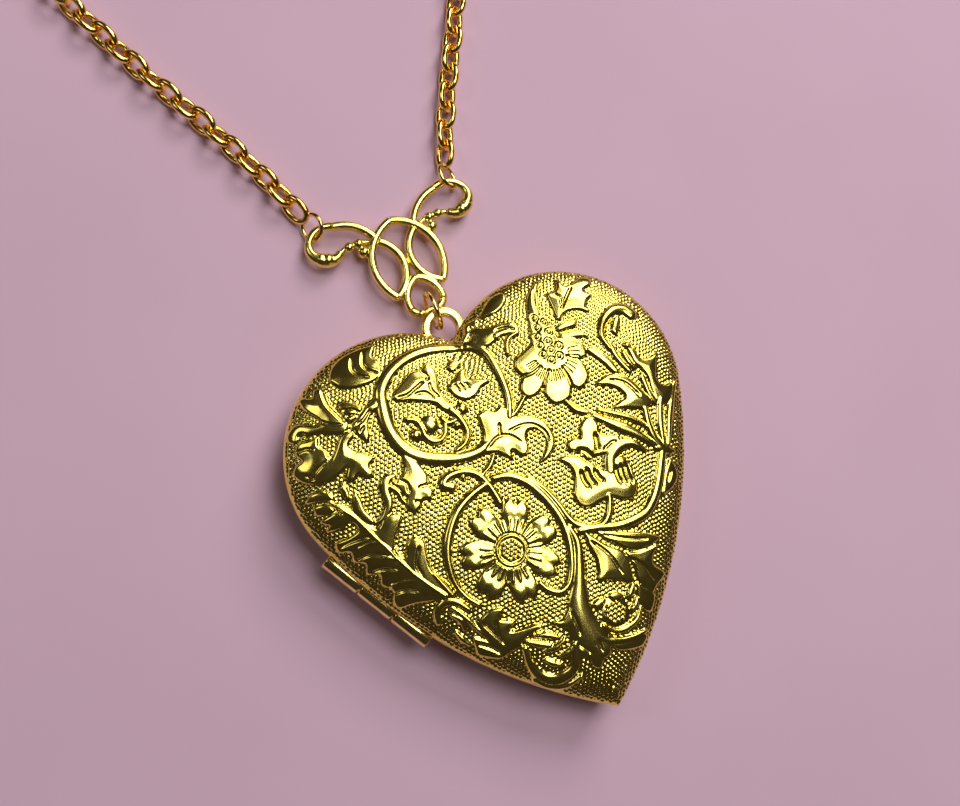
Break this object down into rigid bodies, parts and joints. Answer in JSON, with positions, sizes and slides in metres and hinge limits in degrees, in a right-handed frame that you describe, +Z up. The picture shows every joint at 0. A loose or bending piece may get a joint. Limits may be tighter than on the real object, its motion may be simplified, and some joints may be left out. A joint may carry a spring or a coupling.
{
  "type": "pendant necklace",
  "caption": "Hinged heart locket with embossed covers, hung by rings and a filigree connector from a two-strand cable chain with a lobster clasp.",
  "frame": {"origin": "on the table, under the middle of the box that holds the locket, connector and wing rings", "axes": "+Y along the heart's axis from its tip towards the connector and chain, +Z up from the table through the embossed front, +X to the right"},
  "size_m": [0.0604, 0.1215, 0.0074],
  "materials": {
    "cover_gold": "embossed, polished gold plate",
    "inner_gold": "smooth gold plate",
    "hinge_gold": "polished pale gold plate",
    "bail_gold": "smooth gold plate",
    "ring_gold": "polished drawn wire",
    "connector_gold": "polished cast metal, pale gold plate",
    "chain_gold": "polished drawn wire",
    "clasp_gold": "polished cast metal",
    "spring_steel": "bright spring wire"
  },
  "bodies": {
    "locket_back": {"back_cover": "cover_gold", "closing_lip": "inner_gold", "photo_frame_back": "inner_gold", "hinge_knuckle_upper": "hinge_gold", "hinge_knuckle_lower": "hinge_gold", "hinge_pin": "hinge_gold", "bail_loop": "bail_gold"},
    "locket_front": {"front_cover": "cover_gold", "photo_frame_front": "inner_gold", "hinge_knuckle_middle": "hinge_gold"},
    "bail_ring": {"bail_ring": "ring_gold"},
    "connector": {"connector": "connector_gold"},
    "wing_ring_left": {"wing_ring_left": "ring_gold"},
    "wing_ring_right": {"wing_ring_right": "ring_gold"},
    "strand_left": {"chain_left": "chain_gold", "chain_left_coil": "chain_gold"},
    "strand_right": {"chain_right": "chain_gold", "chain_right_coil": "chain_gold", "clasp_ring": "ring_gold"},
    "end_ring": {"end_ring": "chain_gold"},
    "clasp": {"clasp_body": "clasp_gold", "clasp_pin": "clasp_gold", "clasp_spring": "spring_steel"},
    "clasp_lever": {"clasp_lever": "clasp_gold"}
  },
  "joints": [
    {"name": "locket_hinge", "type": "hinge", "parent": "locket_back", "child": "locket_front", "pos_m": [-0.01634, -0.00945, 0.0037], "axis": [0.4626, -0.8865, 0], "range_deg": [0, 150]},
    {"name": "bail_ring_swing", "type": "hinge", "parent": "locket_back", "child": "bail_ring", "pos_m": [0, 0.01337, 0.00308], "axis": [1, 0, 0], "range_deg": [-10, 40]},
    {"name": "connector_swing", "type": "hinge", "parent": "bail_ring", "child": "connector", "pos_m": [0, 0.01425, 0.00135], "axis": [1, 0, 0], "range_deg": [-25, 30]},
    {"name": "wing_ring_left_swing", "type": "hinge", "parent": "connector", "child": "wing_ring_left", "pos_m": [-0.0074, 0.02565, 0.00135], "axis": [1, 0, 0], "range_deg": [-10, 25]},
    {"name": "wing_ring_right_swing", "type": "hinge", "parent": "connector", "child": "wing_ring_right", "pos_m": [0.0074, 0.02565, 0.00135], "axis": [1, 0, 0], "range_deg": [-10, 25]},
    {"name": "strand_left_swing", "type": "hinge", "parent": "wing_ring_left", "child": "strand_left", "pos_m": [-0.0074, 0.02745, 0.00135], "axis": [0, 0, 1], "range_deg": [0, 12]},
    {"name": "strand_right_swing", "type": "hinge", "parent": "wing_ring_right", "child": "strand_right", "pos_m": [0.0074, 0.02745, 0.00135], "axis": [0, 0, -1], "range_deg": [0, 12]},
    {"name": "end_ring_lift", "type": "hinge", "parent": "strand_left", "child": "end_ring", "pos_m": [-0.02084, 0.08385, 0.00035], "axis": [-0.7255, -0.6883, 0], "range_deg": [0, 60]},
    {"name": "clasp_lift", "type": "hinge", "parent": "strand_right", "child": "clasp", "pos_m": [0.01175, 0.07324, 0.0011], "axis": [-0.891, -0.454, 0], "range_deg": [0, 20]},
    {"name": "clasp_gate", "type": "hinge", "parent": "clasp", "child": "clasp_lever", "pos_m": [0.012, 0.06933, 0.0011], "axis": [0, 0, 1], "range_deg": [0, 25], "stiffness_Nm_per_rad": 0.004}
  ]
}
